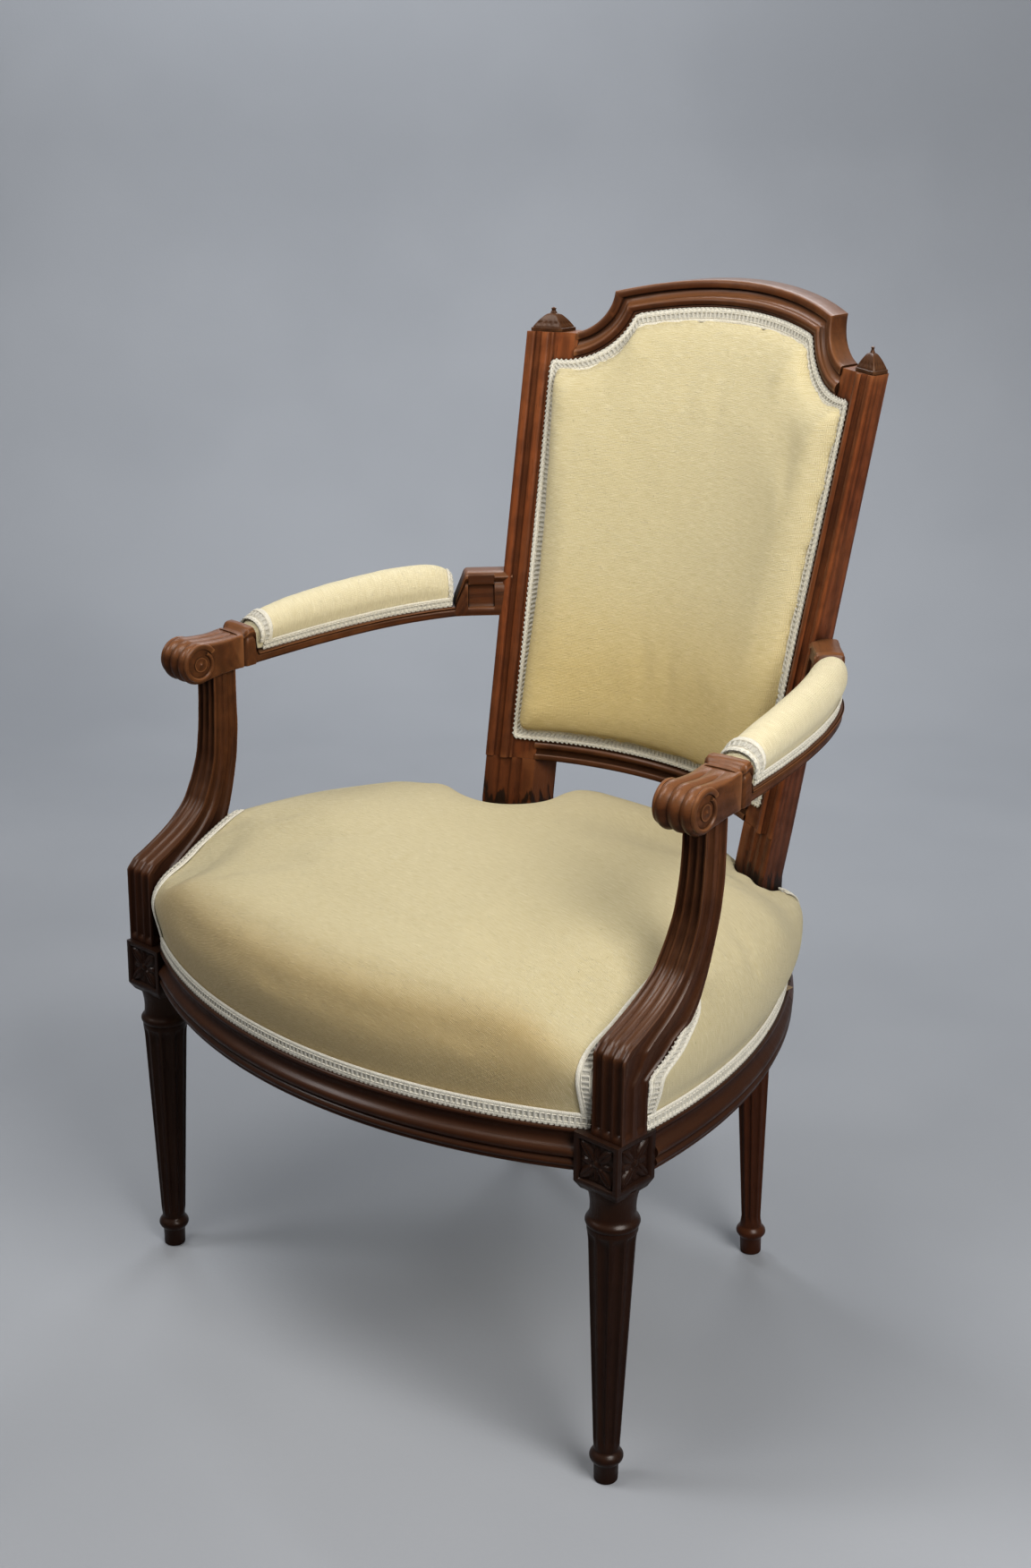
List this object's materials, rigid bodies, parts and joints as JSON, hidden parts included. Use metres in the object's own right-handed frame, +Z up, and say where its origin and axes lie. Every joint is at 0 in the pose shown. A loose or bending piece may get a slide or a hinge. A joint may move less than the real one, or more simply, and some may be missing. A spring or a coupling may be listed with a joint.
{
  "type": "fauteuil",
  "caption": "Upholstered open armchair with turned tapering legs, bowed seat rails, curved moulded back, scrolled arms with pads and cream cloth edged with braid.",
  "frame": {"origin": "on the floor, at the middle of the footprint of the whole chair", "axes": "+Z up, -Y the way the sitter faces, +X to the right of someone who looks at the chair's front"},
  "size_m": [0.61, 0.601, 0.898],
  "materials": {
    "walnut": "dark waxed walnut, rubbed brighter on the edges and darker in the mouldings",
    "oak": "plain turned pegs, cut flush",
    "cloth": "cream slubbed plain weave, matt",
    "braid": "off-white woven gimp with ladder stitches",
    "webbing": "jute webbing, plain weave",
    "hessian": "coarse jute hessian",
    "horsehair": "dense curled horsehair"
  },
  "bodies": {
    "root": {"arm_dowel_left": "oak", "arm_dowel_right": "oak", "arm_left": "walnut", "arm_pad_cover_left": "cloth", "arm_pad_cover_right": "cloth", "arm_pad_gimp_left": "braid", "arm_pad_gimp_right": "braid", "arm_pad_stuffing_left": "horsehair", "arm_pad_stuffing_right": "horsehair", "arm_right": "walnut", "arm_support_left": "walnut", "arm_support_peg_left": "oak", "arm_support_peg_right": "oak", "arm_support_right": "walnut", "back_cover": "cloth", "back_gimp": "braid", "back_hessian": "hessian", "back_stuffing": "horsehair", "back_webbing": "webbing", "crest_peg_left": "oak", "crest_peg_right": "oak", "crest_rail": "walnut", "finial_left": "walnut", "finial_right": "walnut", "front_leg_left": "walnut", "front_leg_right": "walnut", "front_rail": "walnut", "front_rail_peg_left": "oak", "front_rail_peg_right": "oak", "lower_back_rail": "walnut", "lower_rail_peg_left": "oak", "lower_rail_peg_right": "oak", "outside_back_cover": "cloth", "outside_back_gimp": "braid", "rear_rail": "walnut", "rear_rail_peg_left": "oak", "rear_rail_peg_right": "oak", "rear_upright_left": "walnut", "rear_upright_right": "walnut", "seat_cover": "cloth", "seat_gimp_front": "braid", "seat_gimp_rear": "braid", "seat_gimp_side_left": "braid", "seat_gimp_side_right": "braid", "seat_hessian": "hessian", "seat_stuffing": "horsehair", "seat_webbing": "webbing", "side_rail_left": "walnut", "side_rail_peg_left": "oak", "side_rail_peg_right": "oak", "side_rail_right": "walnut", "stile_gimp_left": "braid", "stile_gimp_right": "braid", "support_gimp_left": "braid", "support_gimp_right": "braid"}
  },
  "joints": []
}
